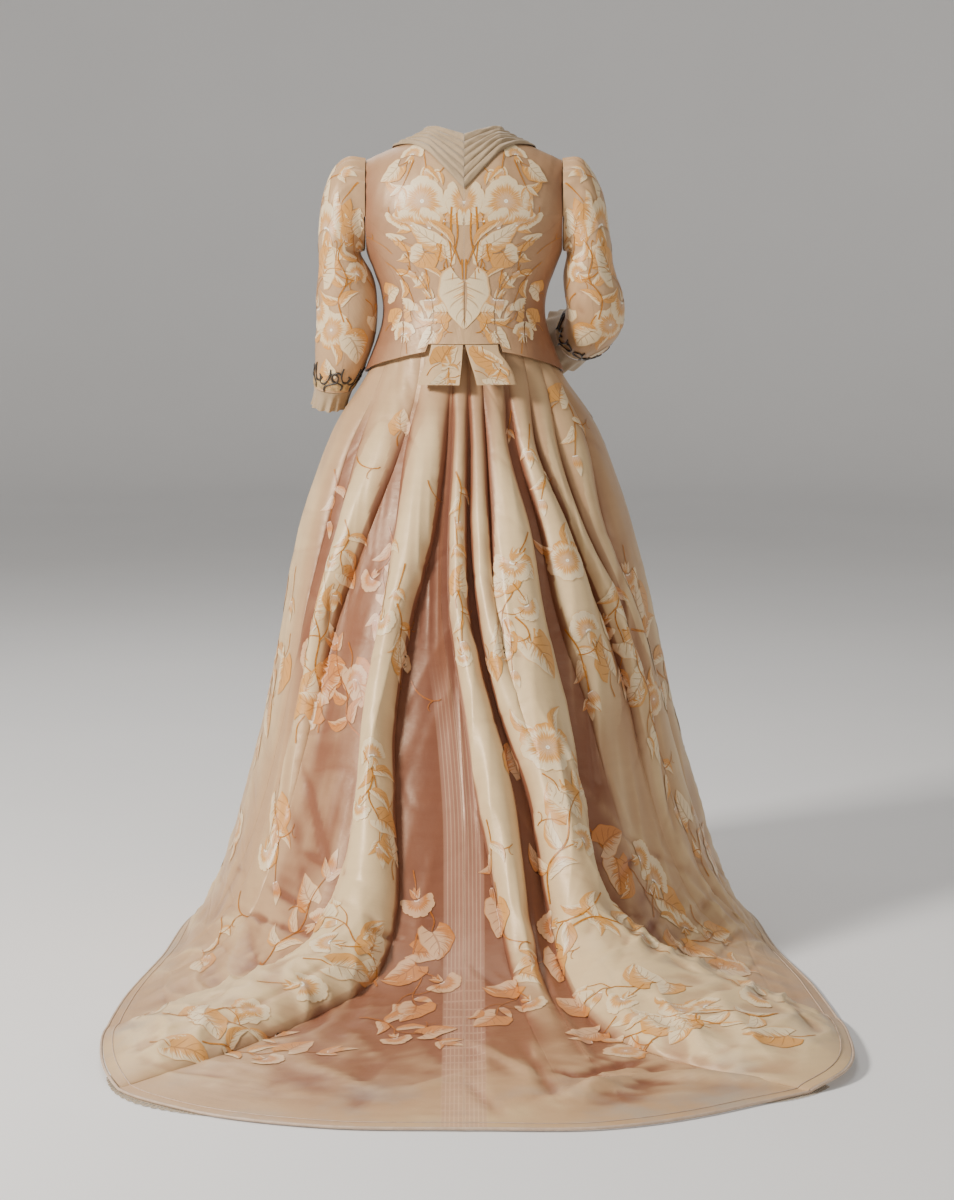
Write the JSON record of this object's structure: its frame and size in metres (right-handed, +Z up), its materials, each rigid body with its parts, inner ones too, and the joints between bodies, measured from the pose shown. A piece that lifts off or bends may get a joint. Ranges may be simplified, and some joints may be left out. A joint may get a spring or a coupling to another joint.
{
  "type": "dinner dress",
  "caption": "Trained brocaded satin dinner dress: fitted back with pleated tail, gauze collar, elbow sleeves, and a skirt folded into the waist and spreading into a long train.",
  "frame": {"origin": "centre of the waist, at the middle height of the skirt's waistband", "axes": "+Z up, +Y to the wearer's back along the train, +X to the wearer's left"},
  "size_m": [1.1393, 1.5324, 1.3984],
  "materials": {
    "satin": "figured silk satin, soft sheen",
    "brocade": "silk satin with woven flowers",
    "gauze": "pleated silk gauze, matt and slightly sheer",
    "lace": "cotton lace edging",
    "cord": "silk covered cord",
    "band": "silk band"
  },
  "bodies": {
    "root": {"bodice_back_left": "brocade", "bodice_back_right": "brocade", "bodice_front_left": "brocade", "bodice_front_right": "brocade", "bodice_side_back_left": "brocade", "bodice_side_back_right": "brocade", "bodice_side_left": "brocade", "bodice_side_right": "brocade", "collar_left": "gauze", "collar_right": "gauze", "cuff_left": "gauze", "cuff_right": "gauze", "dust_ruffle_left": "lace", "dust_ruffle_right": "lace", "hem_cord": "cord", "skirt_back_inner_left": "satin", "skirt_back_inner_right": "satin", "skirt_back_outer_left": "satin", "skirt_back_outer_right": "satin", "skirt_front": "satin", "skirt_side_left": "satin", "skirt_side_right": "satin", "skirt_waistband": "band", "sleeve_under_left": "brocade", "sleeve_under_right": "brocade", "sleeve_upper_left": "brocade", "sleeve_upper_right": "brocade", "tail_left": "brocade", "tail_right": "brocade"}
  },
  "joints": []
}
